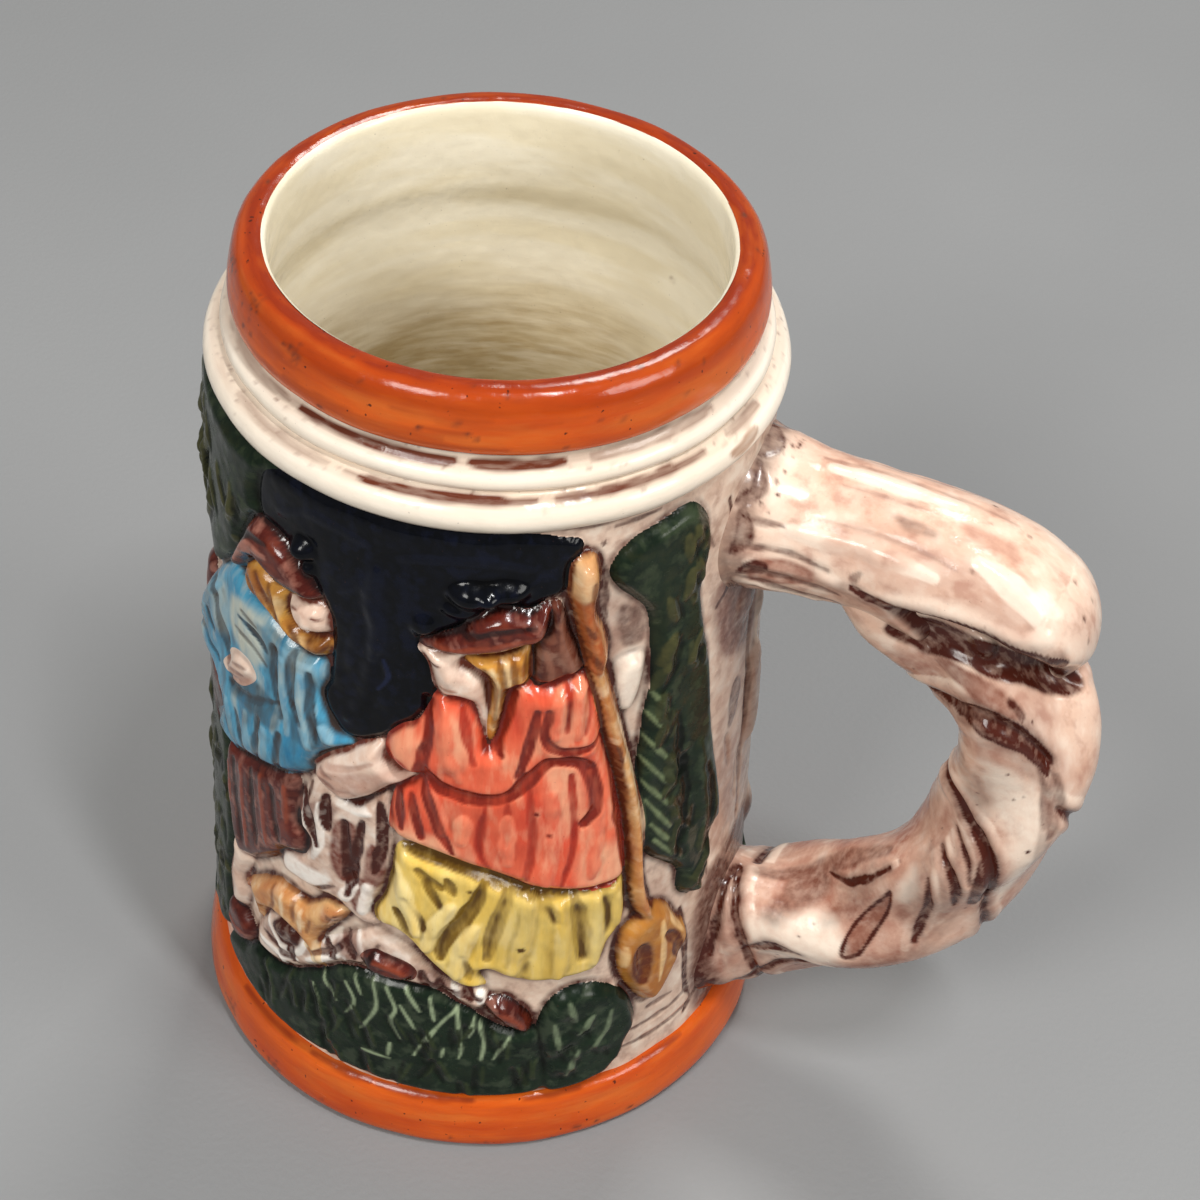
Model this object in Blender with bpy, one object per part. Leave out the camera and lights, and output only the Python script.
"""Relief-moulded souvenir mug: a tapered pottery barrel with an orange rim and foot, a moulded scene
of two walkers all round its wall, and a thick handle shaped like a twisted branch.

The mug stands on z = 0 with its axis on Z and its handle along +X. Lengths are in millimetres in the
named values below and are turned into metres where a mesh is made. Places on the wall are given as
(bearing, height): the bearing is in degrees round the axis, counter-clockwise seen from above, from
the middle of the moulded scene; the handle's bearing is HANDLE_BEARING."""

import math

import bmesh
import bpy
from mathutils import Vector

MM = 0.001

# Driving dimensions.
MUG_HEIGHT = 140.0
RIM_RADIUS = 36.2
RIM_TOP_RADIUS = 35.4
MOUTH_RADIUS = 30.8
RIM_BAND_HEIGHT = 9.2
COLLAR_RADIUS = 39.8
UPPER_BEAD_RADIUS = 37.4
BEAD = 1.8
FOOT_RADIUS = 44.3
FOOT_TOP_RADIUS = 42.4
FOOT_BAND_HEIGHT = 9.8
FOOT_SEAT = 2.6
WALL_RADIUS_BOTTOM = 41.5
WALL_RADIUS_TOP = 38.4
WALL_THICKNESS = 4.7
FLOOR_THICKNESS = 6.0
FLOOR_RADIUS = 35.6
HANDLE_BEARING = 70.0
FIR_TIERS = 5

# The handle's branches: (distance from the axis, height) along each, and the radius at each of those.
UPPER_ROOT_PATH = [(45.7, 104.6), (41, 104.8), (36, 105)]
UPPER_ROOT_RADII = [10.2, 11.4, 13.0]
LIMB_PATH = [(46, 104.6), (56, 104.2), (65, 103), (72, 100.6), (75.6, 98)]
LIMB_RADII = [10.0, 10.1, 10.6, 11.2, 11.4]
TWIST_PATH = [(59, 99), (69, 93.5), (77, 85), (80.6, 76), (80.2, 65), (77, 53.5), (71, 42.5), (63, 33.5)]
TWIST_PATH += [(54, 28), (46, 25)]
TWIST_RADII = [8.4, 9.6, 9.9, 9.6, 9.4, 9.4, 9.6, 9.6, 9.6, 9.6]
LOWER_ROOT_PATH = [(45.5, 24.8), (41, 23.3), (36, 21.6)]
LOWER_ROOT_RADII = [9.7, 10.7, 11.8]
TWIST_TURN = 420.0
TWIST_LOBES = 3
TWIST_DEPTH = 0.1

# Fits and resolution.
GAP = 0.3
SEGMENTS = 48
CELL = 5.4
SHOULDER = 2.2
PAD_INSET = 0.22
PAD_EDGE = 0.45
HANDLE_SIDES = 18
HANDLE_STEP = 4.2

# Heights along the wall.
WALL_START = FOOT_BAND_HEIGHT + GAP
COLLAR_BOTTOM = 120.4
COLLAR_GROOVE = 125.7
RIM_BOTTOM = MUG_HEIGHT - RIM_BAND_HEIGHT
WALL_END = RIM_BOTTOM - GAP
NECK_RADIUS = 35.2

# Glaze colours, as display values from 0 to 255.
ORANGE = (200, 88, 32)
CREAM = (238, 224, 204)
IVORY = (236, 224, 196)
BISQUE = (222, 208, 186)
BRANCH = (226, 200, 182)
NAVY = (22, 25, 34)
FOREST = (42, 54, 40)
MEADOW = (38, 58, 42)
MAROON = (96, 32, 24)
SKIN = (232, 204, 182)
STRAW = (220, 160, 72)
UMBER = (104, 60, 44)
CORAL = (216, 96, 72)
YELLOW = (228, 206, 112)
BLUE = (84, 156, 188)
TAN = (224, 160, 96)
ROCK = (214, 186, 174)
SNOW = (208, 214, 216)


def clear_scene():
    for obj in list(bpy.data.objects):
        bpy.data.objects.remove(obj, do_unlink=True)


def linear(level):
    """A display level from 0 to 255 as the linear value that a shader takes."""
    share = level / 255
    return share / 12.92 if share <= 0.04045 else ((share + 0.055) / 1.055) ** 2.4


def glaze(name, colour, roughness=0.18):
    material = bpy.data.materials.new(name)
    material.use_nodes = True
    shader = material.node_tree.nodes["Principled BSDF"]
    shader.inputs["Base Color"].default_value = (*[linear(level) for level in colour], 1)
    shader.inputs["Roughness"].default_value = roughness
    shader.inputs["Metallic"].default_value = 0
    return material


def add_object(name, bm, colour, roughness=0.18):
    """Turns a bmesh in millimetres into a named, smooth-shaded object in metres."""
    bmesh.ops.scale(bm, vec=(MM, MM, MM), verts=bm.verts)
    bmesh.ops.recalc_face_normals(bm, faces=bm.faces)
    mesh = bpy.data.meshes.new(name)
    bm.to_mesh(mesh)
    bm.free()
    mesh.shade_smooth()
    mesh.set_sharp_from_angle(angle=math.radians(35))
    mesh.materials.append(glaze(name, colour, roughness))
    obj = bpy.data.objects.new(name, mesh)
    bpy.context.scene.collection.objects.link(obj)
    return obj


def as_cutter(obj):
    obj.hide_render = True
    obj.display_type = "WIRE"
    return obj


def cut(obj, cutter):
    modifier = obj.modifiers.new("cut_" + cutter.name, "BOOLEAN")
    modifier.operation = "DIFFERENCE"
    modifier.solver = "EXACT"
    modifier.object = cutter


# Turned pieces.


def arc(centre, radius, start, end, count):
    """Points (r, z) on a circle in the profile plane, from one angle to another in degrees."""
    points = []
    for step in range(count + 1):
        angle = math.radians(start + (end - start) * step / count)
        points.append((centre[0] + radius * math.cos(angle), centre[1] + radius * math.sin(angle)))
    return points


def turned_bmesh(profile):
    """Spins a closed (r, z) outline once round the Z axis."""
    bm = bmesh.new()
    corners = [bm.verts.new((r, 0, z)) for r, z in profile]
    edges = [bm.edges.new((corners[i - 1], corners[i])) for i in range(len(corners))]
    bmesh.ops.spin(
        bm,
        geom=corners + edges,
        cent=(0, 0, 0),
        axis=(0, 0, 1),
        angle=math.tau,
        steps=SEGMENTS,
        use_merge=True,
    )
    return bm


def wall_radius(z):
    """The barrel's outer radius under the moulded scene."""
    share = (z - WALL_START) / (COLLAR_BOTTOM - WALL_START)
    return WALL_RADIUS_BOTTOM + (WALL_RADIUS_TOP - WALL_RADIUS_BOTTOM) * share


def make_barrel():
    """The tapered wall, from the table to the underside of the rim band, open at both ends."""
    seat = FOOT_TOP_RADIUS - FOOT_SEAT
    outside = [(seat, 0), (seat, WALL_START), (WALL_RADIUS_BOTTOM, WALL_START)]
    outside += [(WALL_RADIUS_TOP, COLLAR_BOTTOM - GAP), (NECK_RADIUS, COLLAR_BOTTOM)]
    outside += [(NECK_RADIUS - 0.6, WALL_END)]
    inside = [(MOUTH_RADIUS, WALL_END), (MOUTH_RADIUS + 0.6, COLLAR_GROOVE)]
    inside += [(WALL_RADIUS_TOP - WALL_THICKNESS, COLLAR_BOTTOM - 4)]
    inside += [(WALL_RADIUS_BOTTOM - WALL_THICKNESS, FLOOR_THICKNESS + 4), (FLOOR_RADIUS + GAP, 0)]
    add_object("barrel_wall", turned_bmesh(outside + inside), IVORY)


def make_base_disc():
    """The floor of the mug: glazed above, bare and flat below, where the mug rests."""
    bm = bmesh.new()
    bmesh.ops.create_cone(
        bm,
        cap_ends=True,
        segments=SEGMENTS,
        radius1=FLOOR_RADIUS,
        radius2=FLOOR_RADIUS,
        depth=FLOOR_THICKNESS,
    )
    bmesh.ops.translate(bm, vec=(0, 0, FLOOR_THICKNESS / 2), verts=bm.verts)
    add_object("base_disc", bm, BISQUE, roughness=0.7)


def make_foot_band():
    inner = FOOT_TOP_RADIUS - FOOT_SEAT + GAP
    outline = [(inner, 0), (FOOT_RADIUS - 1.0, 0), (FOOT_RADIUS, 1.2), (FOOT_RADIUS - 0.3, 5.0)]
    outline += [(FOOT_TOP_RADIUS + 0.6, 8.6), (FOOT_TOP_RADIUS - 0.5, FOOT_BAND_HEIGHT)]
    outline += [(inner, FOOT_BAND_HEIGHT)]
    add_object("foot_band", turned_bmesh(outline), ORANGE)


def make_collar():
    """Two cream beads that ring the neck under the orange rim."""
    inner = NECK_RADIUS + GAP
    middle = (COLLAR_BOTTOM + COLLAR_GROOVE) / 2
    half = (COLLAR_GROOVE - COLLAR_BOTTOM) / 2
    lower = [(inner, COLLAR_BOTTOM + GAP), (COLLAR_RADIUS - 2.0, COLLAR_BOTTOM + GAP)]
    lower += [(COLLAR_RADIUS - 0.4, COLLAR_BOTTOM + 1.8), (COLLAR_RADIUS, middle)]
    lower += [(COLLAR_RADIUS - 0.6, middle + half - 1.4), (COLLAR_RADIUS - 2.2, COLLAR_GROOVE)]
    lower += [(inner, COLLAR_GROOVE)]
    add_object("collar_bead_lower", turned_bmesh(lower), CREAM)
    upper_middle = COLLAR_GROOVE + GAP + BEAD
    upper = [(inner, upper_middle + BEAD), (inner, upper_middle - BEAD)]
    upper += arc((UPPER_BEAD_RADIUS - BEAD, upper_middle), BEAD, -90, 90, 4)
    add_object("collar_bead_upper", turned_bmesh(upper), CREAM)


def make_rim_band():
    """The orange rim: a plain band outside, rounded over the top into the mouth."""
    corner = 2.2
    lip = 1.2
    outline = [(MOUTH_RADIUS, RIM_BOTTOM), (RIM_RADIUS - 0.7, RIM_BOTTOM), (RIM_RADIUS, RIM_BOTTOM + 1.2)]
    outline += arc((RIM_TOP_RADIUS - corner, MUG_HEIGHT - corner), corner, 0, 90, 3)
    outline += arc((MOUTH_RADIUS + lip, MUG_HEIGHT - lip), lip, 90, 180, 2)
    add_object("rim_band", turned_bmesh(outline), ORANGE)


# Moulded scene: raised pads that follow the wall.


def slice_flat(bm, axis):
    """Cuts a flat sheet along evenly spaced lines across one axis, so that it can bend."""
    normal = Vector((axis == 0, axis == 1, 0))
    places = [vert.co[axis] for vert in bm.verts]
    for line in range(math.ceil(min(places) / CELL), math.floor(max(places) / CELL) + 1):
        sheet = bm.verts[:] + bm.edges[:] + bm.faces[:]
        at = normal * line * CELL
        bmesh.ops.bisect_plane(bm, geom=sheet, dist=1e-5, plane_co=at, plane_no=normal)


def edge_distance(point, corners):
    """How far a point of the sheet lies from the outline with these corners."""
    nearest = math.inf
    for start, end in zip(corners, corners[1:] + corners[:1]):
        along = end - start
        share = (point - start).dot(along) / along.length_squared
        nearest = min(nearest, (point - start - along * min(max(share, 0), 1)).length)
    return nearest


def on_wall(flat, lift):
    """A point of the unrolled wall (arc length, height) in space, lifted off the wall."""
    angle = flat.x / WALL_RADIUS_BOTTOM - math.radians(HANDLE_BEARING)
    radius = wall_radius(flat.y) + lift
    return Vector((radius * math.cos(angle), radius * math.sin(angle), flat.y))


def relief(name, colour, height, outline):
    """A raised pad with a bevelled shoulder, from its outline as (bearing, height) corners."""
    bm = bmesh.new()
    arc_scale = math.radians(WALL_RADIUS_BOTTOM)
    face = bm.faces.new([bm.verts.new((bearing * arc_scale, z, 0)) for bearing, z in outline])
    face.normal_update()
    border = bmesh.ops.inset_individual(bm, faces=[face], thickness=PAD_INSET, use_even_offset=True)
    bmesh.ops.delete(bm, geom=border["faces"], context="FACES")
    corners = [vert.co.copy() for vert in face.verts]
    slice_flat(bm, 0)
    slice_flat(bm, 1)
    bmesh.ops.triangulate(bm, faces=bm.faces)
    front, back = {}, {}
    solid = bmesh.new()
    for vert in bm.verts:
        inside = min(edge_distance(vert.co, corners) / SHOULDER, 1)
        rise = height * (PAD_EDGE + (1 - PAD_EDGE) * inside)
        front[vert] = solid.verts.new(on_wall(vert.co, GAP + rise))
        back[vert] = solid.verts.new(on_wall(vert.co, GAP))
    for sheet_face in bm.faces:
        solid.faces.new([front[vert] for vert in sheet_face.verts])
        solid.faces.new([back[vert] for vert in reversed(sheet_face.verts)])
    for edge in bm.edges:
        if edge.is_boundary:
            start, end = edge.verts
            solid.faces.new((front[start], back[start], back[end], front[end]))
    bm.free()
    add_object(name, solid, colour)


# Each pad's name, colour, height and outline. Neighbours share corners, and PAD_INSET keeps them apart.

WALKER_PADS = [
    ("walker_left_hat", MAROON, 3.0, [
        (-60.3, 99.2), (-57, 105), (-54, 109), (-50.5, 111), (-45, 110.6), (-40.3, 109), (-36.3, 106.1),
        (-34, 103.4), (-42, 101.8), (-45, 102.3), (-50, 103.5), (-53, 101.3), (-56, 99)]),
    ("walker_left_face", SKIN, 2.4, [
        (-42, 101.8), (-34, 103.4), (-32, 101), (-32, 97.2), (-37, 96.6), (-42, 99)]),
    ("walker_left_hair", STRAW, 2.4, [
        (-56, 99), (-53, 101.3), (-50, 103.5), (-45, 102.3), (-42, 101.8), (-42, 99), (-37, 96.6),
        (-32, 97.2), (-32, 94.7), (-34, 93), (-38.7, 93.2), (-47.5, 95.5), (-53, 96.4)]),
    ("walker_left_jacket", BLUE, 2.6, [
        (-60.3, 99.2), (-56, 99), (-53, 96.4), (-47.5, 95.5), (-38.7, 93.2), (-34, 93), (-32.4, 89.7),
        (-34, 86.4), (-30, 81.2), (-27, 79.6), (-33, 75.5), (-36.3, 71.5), (-40.3, 67.6), (-46.7, 65.8),
        (-54.7, 63.5), (-61, 61.6), (-67.4, 61.3), (-66.8, 68.6), (-69, 71.8), (-76, 70), (-82, 68.5),
        (-86, 74), (-82, 79), (-74, 87.5), (-65, 95.8)]),
    ("walker_left_trousers", MAROON, 2.1, [
        (-67.4, 61.3), (-61, 61.6), (-54.7, 63.5), (-46.7, 65.8), (-40.3, 67.6), (-39.4, 63), (-40, 58.5),
        (-38, 56.4), (-38.7, 52.9), (-44.5, 50.4), (-50.3, 45.3), (-56, 41.2), (-62, 40.6), (-65, 44.8),
        (-66.5, 51)]),
    ("walker_left_stocking", SKIN, 1.9, [
        (-65, 44.8), (-62, 40.6), (-56, 41.2), (-58.5, 36.5), (-59.7, 34), (-58.3, 32.5), (-59.3, 28.4),
        (-65.5, 28), (-66.6, 33), (-65.3, 39.5)]),
    ("walker_left_shoe", MAROON, 2.1, [
        (-65.5, 28), (-59.3, 28.4), (-55.3, 25.8), (-56.1, 23.4), (-59.7, 21.6), (-64, 21), (-66.8, 23),
        (-66.8, 27)]),
    ("walker_linked_arm", SKIN, 2.5, [
        (-20, 82.8), (-19.5, 79.5), (-16, 77.8), (-13, 77.5), (-18, 74), (-22, 71), (-30, 68.3),
        (-36.3, 71.5), (-33, 75.5), (-27, 79.6), (-25, 80.8)]),
    ("walker_right_hat", MAROON, 3.1, [
        (-13.7, 101.5), (-9, 103.8), (-3.7, 107.3), (3, 109.2), (7.4, 108.6), (11.2, 109.2), (11, 105.3),
        (9, 103.4), (5.8, 102.3), (-2.5, 101.1)]),
    ("walker_right_face", SKIN, 2.4, [
        (-13.7, 101.5), (-2.5, 101.1), (-3, 98.5), (0, 95.3), (0, 84.2), (-1.5, 88), (-3, 91.7), (-6, 92.9),
        (-10, 93.2), (-12, 98.5)]),
    ("walker_right_hair", STRAW, 2.6, [
        (-2.5, 101.1), (5.8, 102.3), (9, 103.4), (8, 96.2), (4.2, 94.7), (3, 90.8), (1.8, 86.3), (0, 84.2),
        (0, 95.3), (-3, 98.5)]),
    ("walker_right_bundle", UMBER, 2.4, [
        (9, 103.4), (11, 105.3), (11.2, 109.2), (13.4, 109), (15.4, 104), (17.6, 99.8), (18.6, 97),
        (14.6, 96.2), (8, 96.2)]),
    ("walker_right_jacket", CORAL, 2.7, [
        (-20, 82.8), (-17.3, 85.6), (-11.3, 90.8), (-10, 93.2), (-6, 92.9), (-3, 91.7), (-1.5, 88),
        (0, 84.2), (1.8, 86.3), (3, 90.8), (4.2, 94.7), (8, 96.2), (14.6, 96.2), (18.6, 97), (21.8, 92),
        (23.5, 83), (25.7, 77.5), (28, 69.7), (29.5, 62), (29.5, 54.5), (20, 54.3), (10, 56.2), (0, 60),
        (-10, 63.2), (-18, 65), (-18.5, 70), (-18, 74), (-13, 77.5), (-16, 77.8), (-19.5, 79.5)]),
    ("walker_right_skirt", YELLOW, 2.6, [
        (-18, 65), (-10, 63.2), (0, 60), (10, 56.2), (20, 54.3), (29.5, 54.5), (29.8, 47), (27, 41.8),
        (24.5, 36.3), (15.4, 35.8), (4.6, 37.5), (1.3, 39), (0, 38), (1, 35.4), (-4.8, 35.8), (-9.9, 39.2),
        (-15, 43.8), (-20.8, 45.3), (-22.2, 48.3), (-20, 52.4), (-18.6, 57.5)]),
    ("walker_front_shoe", MAROON, 2.4, [
        (-24.5, 38.5), (-22, 40), (-18, 39.6), (-14, 38.8), (-13, 37), (-14.5, 35.3), (-21, 35),
        (-24.3, 36.4)]),
    ("walker_back_shoe", MAROON, 2.4, [
        (0.8, 32), (3.5, 33.3), (7, 31.8), (10, 28.8), (11, 26.5), (9.5, 25.4), (6, 27), (2.8, 28.9)]),
    ("walking_staff", TAN, 2.7, [
        (14.6, 114.5), (17, 116.3), (19.8, 115.6), (20, 112), (19.6, 107), (21.8, 100), (24.2, 93),
        (26.2, 84), (28.6, 78), (30.8, 70), (32.2, 62), (32.6, 54), (34.4, 49), (37, 43.4), (34.6, 42.6),
        (31.6, 48), (29.5, 54.5), (29.5, 62), (28, 69.7), (25.7, 77.5), (23.5, 83), (21.8, 92), (18.6, 97),
        (17.8, 100), (16.6, 104), (15.8, 108), (14.9, 111)]),
    ("staff_bundle", STRAW, 2.6, [
        (29.6, 41.5), (34.6, 42.6), (37, 43.4), (41, 43), (44.5, 39), (47, 35.5), (46.5, 32), (42, 26.6),
        (37.5, 23.6), (34, 26), (30.6, 31), (29.2, 33.5), (28.8, 37)]),
]

LANDSCAPE_PADS = [
    ("night_sky", NAVY, 1.2, [
        (-47, 119.6), (14, 119.4), (16.6, 118), (14.6, 114.5), (13.5, 110.5), (7.4, 108.6), (3, 109.2),
        (-3.7, 107.3), (-9, 103.8), (-13.7, 101.5), (-12, 98.5), (-10, 93.2), (-11.3, 90.8), (-17.3, 85.6),
        (-20, 82.8), (-25, 80.8), (-27, 79.6), (-30, 81.2), (-34, 86.4), (-32.4, 89.7), (-34, 93),
        (-32, 94.7), (-32, 97.2), (-32, 101), (-34, 103.4), (-36.3, 106.1), (-40.3, 109), (-45, 110.6),
        (-50.5, 111), (-52, 114), (-50, 118.5)]),
    ("left_tree", FOREST, 1.8, [
        (-50, 118.5), (-52, 114), (-50.5, 111), (-54, 109), (-57, 105), (-60.3, 99.2), (-65, 95.8),
        (-70, 92.3), (-76, 95.5), (-85, 97.5), (-95, 100), (-99.5, 107), (-98, 114.5), (-92, 118.8),
        (-80, 119.6), (-52, 119.6)]),
    ("left_hedge", FOREST, 1.6, [
        (-68, 60.5), (-67.5, 51), (-66, 44.8), (-66.4, 39.5), (-67.6, 33), (-67.6, 28), (-68, 22),
        (-69.5, 17), (-74, 14.5), (-84, 14.5), (-92, 17), (-97, 26), (-95, 38), (-98, 50), (-96, 62),
        (-88, 67), (-80, 66)]),
    ("right_tree", FOREST, 1.9, [
        (23.2, 111.4), (23.6, 114), (28.4, 117), (39, 118.8), (44, 117.5), (46.9, 112), (45.5, 102.5),
        (48.7, 90.8), (50.7, 78.6), (54.3, 65.2), (56.4, 55), (53.3, 52.9), (53.1, 45.8), (50, 41.5),
        (46.6, 41.9), (44.1, 44.3), (43.3, 49), (39.4, 52.4), (36, 55.5), (34, 59.5), (33, 64), (32, 69.5),
        (31.6, 75), (32.4, 80.3), (33, 86), (33.4, 93), (32.8, 99.7), (31, 104), (27.2, 108.4),
        (24.4, 109.8)]),
    ("rock_bank", ROCK, 1.6, [
        (-40.3, 67.6), (-36.3, 71.5), (-30, 68.3), (-22, 71), (-18, 74), (-18.5, 70), (-18, 65),
        (-18.6, 57.5), (-20, 52.4), (-22.2, 48.3), (-20.8, 45.3), (-25, 44.4), (-27.5, 45.6), (-33.3, 46),
        (-38.7, 42.9), (-46, 43.4), (-50.3, 45.3), (-44.5, 50.4), (-38.7, 52.9), (-38, 56.4), (-40, 58.5),
        (-39.4, 63)]),
    ("dog", TAN, 2.3, [
        (-27.5, 45.6), (-33.3, 46), (-38.7, 42.9), (-46, 43.4), (-50.3, 41.7), (-54.6, 39), (-58.5, 36.5),
        (-59.7, 34), (-56.8, 34.3), (-54.4, 35.8), (-54, 31.2), (-52.4, 31), (-50.3, 34.2), (-47.4, 35.8),
        (-43, 35.8), (-39.4, 34.7), (-35, 30.3), (-34, 31.2), (-34.4, 37.8), (-31.5, 40.8)]),
    ("low_rocks", ROCK, 1.5, [
        (-54.6, 23.6), (-46, 24.6), (-37.3, 28.4), (-30, 32.6), (-24, 33.8), (-24.3, 36.4), (-24.5, 38.5),
        (-23, 41.5), (-28, 42), (-31.5, 40.8), (-34.4, 37.8), (-34, 31.2), (-35, 30.3), (-39.4, 34.7),
        (-43, 35.8), (-47.4, 35.8), (-50.3, 34.2), (-52.4, 31), (-54, 31.2), (-55.5, 29)]),
    ("front_grass", MEADOW, 1.7, [
        (12.5, 10.6), (12.5, 24.5), (9.5, 25.4), (6, 27), (2.8, 28.9), (-2, 30.5), (-5, 31.5), (-12, 33.8),
        (-24, 33.8), (-30, 32.6), (-37.3, 28.4), (-46, 24.6), (-54.6, 23.6), (-60, 20), (-68, 17),
        (-68, 14), (-50, 12), (-30, 11.2), (0, 10.6)]),
    ("bush", MEADOW, 2.2, [
        (12.5, 10.6), (12.5, 24.5), (13.6, 30), (16, 32.2), (20, 33), (24, 32.5), (28, 30.6), (31.2, 28),
        (33.5, 24), (34, 21), (32.5, 17.5), (30, 14), (26.5, 11)]),
]


def fir_outline(bearing, base, top, spread, tiers):
    """A fir tree's outline: tiers of drooping branches that narrow to the top."""
    left, right = [], []
    for tier in range(tiers):
        low = base + (top - base) * tier / tiers
        reach = spread * (1 - tier / tiers)
        right += [(bearing + reach, low), (bearing + reach * 0.6, low + (top - base) * 0.8 / tiers)]
        left += [(bearing - reach, low), (bearing - reach * 0.6, low + (top - base) * 0.8 / tiers)]
    return right + [(bearing, top)] + left[::-1]


def make_back_scene():
    """The side away from the walkers: firs, hills, a peak and a hut in the same style."""
    meadow = [(92, 10.6), (92, 16), (108, 21), (126, 19), (146, 24), (166, 21), (186, 25), (206, 22)]
    meadow += [(226, 24.5), (246, 20), (262, 18), (274, 14.5), (274, 10.6)]
    relief("back_meadow", MEADOW, 1.7, meadow)
    hill = [(110, 24), (116, 36), (130, 44), (146, 48), (166, 45), (196, 45), (212, 49), (230, 44)]
    hill += [(248, 34), (256, 25), (244, 24), (226, 29), (206, 26.5), (186, 29.5), (166, 25.5), (146, 28.5)]
    relief("back_hill", ROCK, 1.4, hill + [(126, 23.5)])
    peak = [(145, 77), (150, 84), (158, 93), (164, 88.5), (172, 100), (180, 108), (188, 98), (194, 90.5)]
    peak += [(200, 95), (208, 86), (215, 77), (200, 74), (180, 75.5), (160, 74)]
    relief("back_peak", SNOW, 1.4, peak)
    relief("back_hut", TAN, 2.2, [(169, 46), (169, 60), (193, 60), (193, 46)])
    relief("back_hut_roof", UMBER, 2.8, [(165, 60.5), (172, 72), (190, 72), (197, 60.5)])
    relief("back_fir_left", FOREST, 1.9, fir_outline(132, 50, 112, 17, FIR_TIERS))
    relief("back_fir_right", FOREST, 1.9, fir_outline(228, 50, 112, 17, FIR_TIERS))


# Handle: a thick branch that bends over and twists back down to the wall.


def smooth_path(points, radii):
    """A smooth curve through the points of a branch, with its radius at each step."""
    centres = [Vector((x, 0, z)) for x, z in points]
    centres = [2 * centres[0] - centres[1]] + centres + [2 * centres[-1] - centres[-2]]
    path = []
    for index in range(1, len(centres) - 2):
        before, start, end, after = centres[index - 1 : index + 3]
        steps = max(1, round((end - start).length / HANDLE_STEP))
        for step in range(steps):
            t = step / steps
            place = 2 * start + (end - before) * t
            place += (2 * before - 5 * start + 4 * end - after) * t**2
            place += (3 * start - before - 3 * end + after) * t**3
            path.append((place / 2, radii[index - 1] + (radii[index] - radii[index - 1]) * t))
    return path + [(centres[-2], radii[-1])]


def rounded_end(path, rings):
    """Extends a branch with a domed end."""
    (last, radius), (before, _) = path[-1], path[-2]
    forward = (last - before).normalized()
    for ring in range(1, rings + 1):
        angle = math.pi / 2 * ring / (rings + 0.4)
        path.append((last + forward * radius * math.sin(angle) * 0.9, radius * math.cos(angle)))
    return path


def branch_bmesh(path, turn=0.0, depth=0.0):
    """A tube along a path in the XZ plane, with lobes that wind round it where depth is above 0."""
    bm = bmesh.new()
    rings = []
    for index, (centre, radius) in enumerate(path):
        forward = path[min(index + 1, len(path) - 1)][0] - path[max(index - 1, 0)][0]
        across = forward.cross(Vector((0, 1, 0))).normalized()
        phase = math.radians(turn) * index / (len(path) - 1)
        ring = []
        for side in range(HANDLE_SIDES):
            angle = math.tau * side / HANDLE_SIDES
            reach = radius * (1 + depth * math.cos(TWIST_LOBES * (angle + phase)))
            offset = across * math.cos(angle) + Vector((0, 1, 0)) * math.sin(angle)
            ring.append(bm.verts.new(centre + offset * reach))
        rings.append(ring)
    for low, high in zip(rings, rings[1:]):
        for side in range(HANDLE_SIDES):
            after = (side + 1) % HANDLE_SIDES
            bm.faces.new((low[side], low[after], high[after], high[side]))
    bm.faces.new(rings[0])
    bm.faces.new(rings[-1])
    return bm


def make_handle():
    """The overhanging limb, the twisted limb below it and the flared joint of each at the wall."""
    low, high = -5, MUG_HEIGHT + 5
    foot, neck = WALL_RADIUS_BOTTOM + 2 * GAP, WALL_RADIUS_TOP + GAP
    wall_face = [(0.5, low), (foot, low), (foot, WALL_START), (neck, COLLAR_BOTTOM + GAP), (neck, high)]
    wall_face += [(0.5, high)]
    wall_cutter = as_cutter(add_object("wall_cutter", turned_bmesh(wall_face), BRANCH))
    limb = rounded_end(smooth_path(LIMB_PATH, LIMB_RADII), 4)
    add_object("handle_limb", branch_bmesh(limb), BRANCH)
    clearance = [(centre, radius + GAP) for centre, radius in limb]
    limb_cutter = as_cutter(add_object("limb_cutter", branch_bmesh(clearance), BRANCH))
    twist = branch_bmesh(smooth_path(TWIST_PATH, TWIST_RADII), TWIST_TURN, TWIST_DEPTH)
    cut(add_object("handle_twist", twist, BRANCH), limb_cutter)
    for name, path, radii in (
        ("handle_upper_root", UPPER_ROOT_PATH, UPPER_ROOT_RADII),
        ("handle_lower_root", LOWER_ROOT_PATH, LOWER_ROOT_RADII),
    ):
        cut(add_object(name, branch_bmesh(smooth_path(path, radii)), BRANCH), wall_cutter)


def main():
    clear_scene()
    make_barrel()
    make_base_disc()
    make_foot_band()
    make_collar()
    make_rim_band()
    for name, colour, height, outline in WALKER_PADS + LANDSCAPE_PADS:
        relief(name, colour, height, outline)
    make_back_scene()
    make_handle()


main()
